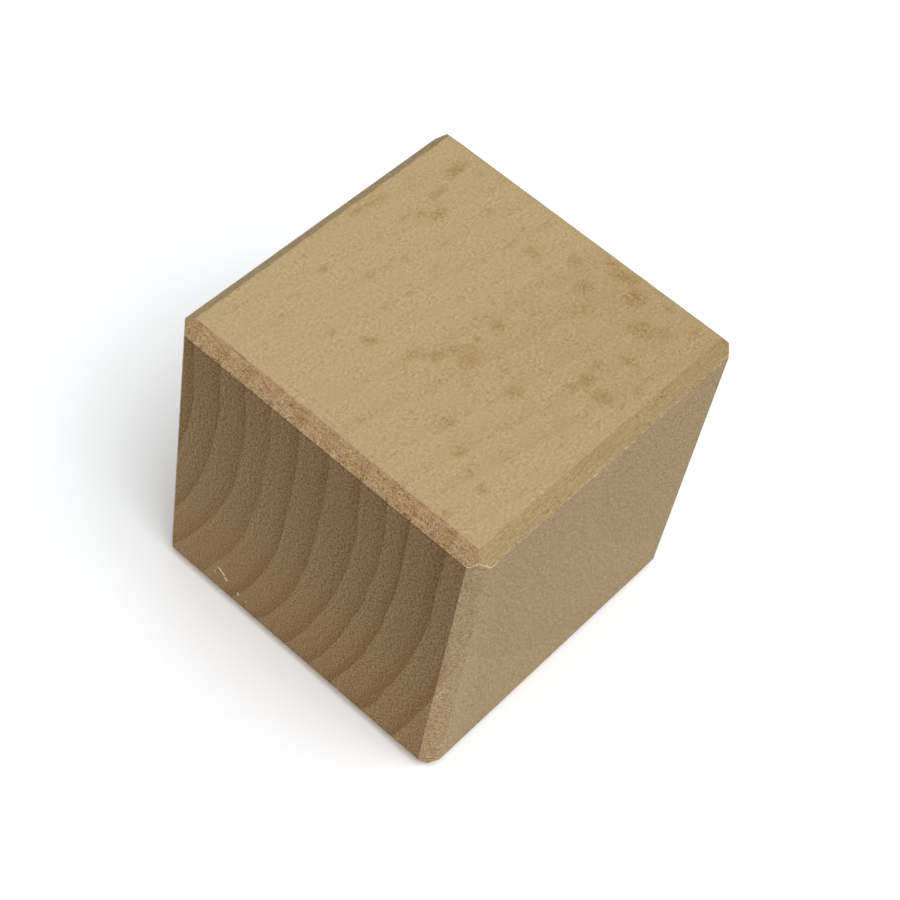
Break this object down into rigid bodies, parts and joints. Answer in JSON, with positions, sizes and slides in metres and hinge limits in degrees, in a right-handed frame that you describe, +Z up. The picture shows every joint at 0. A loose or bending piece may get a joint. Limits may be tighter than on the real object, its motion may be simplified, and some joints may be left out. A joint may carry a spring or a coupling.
{
  "type": "wooden cube",
  "caption": "Solid beech wood cube with planed faces and a narrow 45 degree chamfer along every edge, mitred at the corners; a block, spacer or riser for the bench or desk.",
  "frame": {"origin": "centre of the bottom face, on the surface that the cube stands on", "axes": "+Z up; +X along the grain, so the X faces are end grain; the growth rings lie flat to the Y faces; the Z faces are cut along the rays"},
  "size_m": [0.05, 0.05, 0.05],
  "materials": {
    "beech": "bare planed beech, unvarnished, matt"
  },
  "bodies": {
    "root": {"wooden_cube": "beech"}
  },
  "joints": []
}
